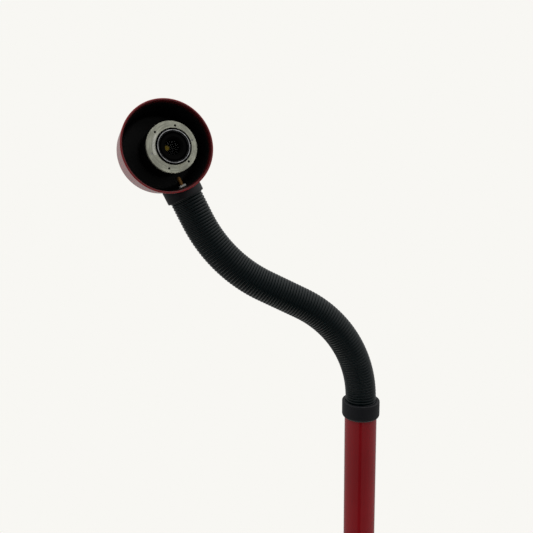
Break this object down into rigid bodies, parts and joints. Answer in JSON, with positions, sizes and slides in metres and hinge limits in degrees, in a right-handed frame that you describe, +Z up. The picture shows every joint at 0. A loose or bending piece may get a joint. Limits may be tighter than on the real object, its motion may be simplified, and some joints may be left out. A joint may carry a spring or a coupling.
{
  "type": "webcam on tripod",
  "caption": "Webcam in a round open can on a black ribbed gooseneck, above a telescoping red pole on a folding tripod.",
  "frame": {"origin": "on the floor, on the pole's axis", "axes": "+Z up along the pole, +X to the right and +Y away from a person whom the camera faces"},
  "size_m": [0.5611, 0.5974, 1.5264],
  "materials": {
    "red_paint": "glossy dark red paint",
    "black_conduit": "satin black, fine ribs",
    "black_plastic": "satin black",
    "cast_black": "black powder coat on a casting",
    "black_anodised": "black anodised",
    "bare_aluminium": "fine turned, bare",
    "bright_ring": "bright",
    "lens_glass": "coated",
    "steel": "zinc plated",
    "brass": "turned",
    "white_nylon": "satin",
    "circuit_board": "solder mask",
    "sensor_cover": "polished",
    "rubber": "matte"
  },
  "bodies": {
    "stand": {"lower_tube": "red_paint", "tube_bush": "black_plastic", "clamp_body": "black_plastic", "tripod_hub": "cast_black", "hub_screw": "steel", "leg_pins": "steel", "pole_end_cap": "black_plastic", "cable_gland": "black_plastic"},
    "clamp_knob": {"clamp_knob": "black_plastic", "clamp_screw": "steel"},
    "pole": {"upper_tube": "red_paint", "slide_plug": "black_plastic", "pole_plug": "black_anodised", "lower_collar": "black_plastic", "conduit_1": "black_conduit", "arm_link_1": "steel"},
    "neck_1": {"conduit_2": "black_conduit", "arm_link_2": "steel"},
    "neck_2": {"conduit_3": "black_conduit", "arm_link_3": "steel"},
    "neck_3": {"conduit_4": "black_conduit", "arm_link_4": "steel"},
    "neck_4": {"conduit_5": "black_conduit", "arm_link_5": "steel"},
    "neck_5": {"conduit_6": "black_conduit", "arm_link_6": "steel"},
    "neck_6": {"conduit_7": "black_conduit", "arm_link_7": "steel"},
    "neck_7": {"conduit_8": "black_conduit", "arm_link_8": "steel"},
    "head": {"arm_link_9": "steel", "conduit_9": "black_conduit", "upper_collar": "black_plastic", "head_shell": "red_paint", "brass_stud": "brass", "nylon_pad": "white_nylon", "camera_housing": "black_anodised", "housing_screws": "steel", "flange_ring": "bare_aluminium", "flange_screws": "steel", "clamp_ring": "black_anodised", "sensor_board": "circuit_board", "image_sensor": "sensor_cover", "board_screws": "steel", "lens_barrel": "black_anodised", "lens_baffle": "black_anodised", "front_element": "lens_glass", "iris_plate": "black_anodised", "rear_element": "lens_glass"},
    "focus": {"focus_ring": "black_anodised", "lens_front_ring": "bright_ring"},
    "leg_1": {"leg_tube_1": "red_paint", "leg_end_1": "black_plastic", "foot_1": "rubber"},
    "leg_2": {"leg_tube_2": "red_paint", "leg_end_2": "black_plastic", "foot_2": "rubber"},
    "leg_3": {"leg_tube_3": "red_paint", "leg_end_3": "black_plastic", "foot_3": "rubber"}
  },
  "joints": [
    {"name": "pole_slide", "type": "slide", "parent": "stand", "child": "pole", "axis": [0, 0, 1], "range_m": [-0.38, 0]},
    {"name": "clamp_knob_turn", "type": "hinge", "parent": "stand", "child": "clamp_knob", "pos_m": [0.04229, 0.01539, 0.673], "axis": [0.9397, 0.342, 0], "range_deg": [0, 270]},
    {"name": "lower_bend_1", "type": "hinge", "parent": "pole", "child": "neck_1", "pos_m": [-0.00163, -0.00023, 1.23793], "axis": [-0.1392, 0.9903, 0], "range_deg": [-18, 18]},
    {"name": "lower_sway_1", "type": "hinge", "parent": "neck_1", "child": "neck_2", "pos_m": [-0.0121, -0.0017, 1.2722], "axis": [-0.8925, -0.1254, -0.4333], "range_deg": [-18, 18]},
    {"name": "lower_bend_2", "type": "hinge", "parent": "neck_2", "child": "neck_3", "pos_m": [-0.03207, -0.00451, 1.30186], "axis": [-0.1392, 0.9903, 0], "range_deg": [-18, 18]},
    {"name": "lower_sway_2", "type": "hinge", "parent": "neck_3", "child": "neck_4", "pos_m": [-0.05977, -0.0084, 1.32432], "axis": [-0.4986, -0.0701, -0.864], "range_deg": [-18, 18]},
    {"name": "upper_bend_1", "type": "hinge", "parent": "neck_4", "child": "neck_5", "pos_m": [-0.0912, -0.01282, 1.3413], "axis": [-0.1392, 0.9903, 0], "range_deg": [-18, 18]},
    {"name": "upper_sway_1", "type": "hinge", "parent": "neck_5", "child": "neck_6", "pos_m": [-0.12156, -0.01708, 1.36006], "axis": [-0.6077, -0.0854, -0.7895], "range_deg": [-18, 18]},
    {"name": "upper_bend_2", "type": "hinge", "parent": "neck_6", "child": "neck_7", "pos_m": [-0.14676, -0.02063, 1.38539], "axis": [-0.1392, 0.9903, 0], "range_deg": [-18, 18]},
    {"name": "upper_sway_2", "type": "hinge", "parent": "neck_7", "child": "head", "pos_m": [-0.16513, -0.02321, 1.41614], "axis": [-0.9004, -0.1265, -0.4163], "range_deg": [-18, 18]},
    {"name": "focus_turn", "type": "hinge", "parent": "head", "child": "focus", "pos_m": [-0.18119, -0.04535, 1.48363], "axis": [0.3963, -0.91, 0.1217], "range_deg": [-60, 60]},
    {"name": "leg_fold_1", "type": "hinge", "parent": "stand", "child": "leg_1", "pos_m": [-0.04753, -0.00668, 0.172], "axis": [0.1392, -0.9903, 0], "range_deg": [0, 60]},
    {"name": "leg_fold_2", "type": "hinge", "parent": "stand", "child": "leg_2", "pos_m": [0.02955, -0.03782, 0.172], "axis": [0.788, 0.6157, 0], "range_deg": [0, 60]},
    {"name": "leg_fold_3", "type": "hinge", "parent": "stand", "child": "leg_3", "pos_m": [0.01798, 0.04451, 0.172], "axis": [-0.9272, 0.3746, 0], "range_deg": [0, 60]}
  ],
  "couplings": [
    {"joint": "lower_bend_2", "follows": "lower_bend_1", "ratio": 1},
    {"joint": "lower_sway_2", "follows": "lower_sway_1", "ratio": 1},
    {"joint": "upper_bend_2", "follows": "upper_bend_1", "ratio": 1},
    {"joint": "upper_sway_2", "follows": "upper_sway_1", "ratio": 1}
  ]
}
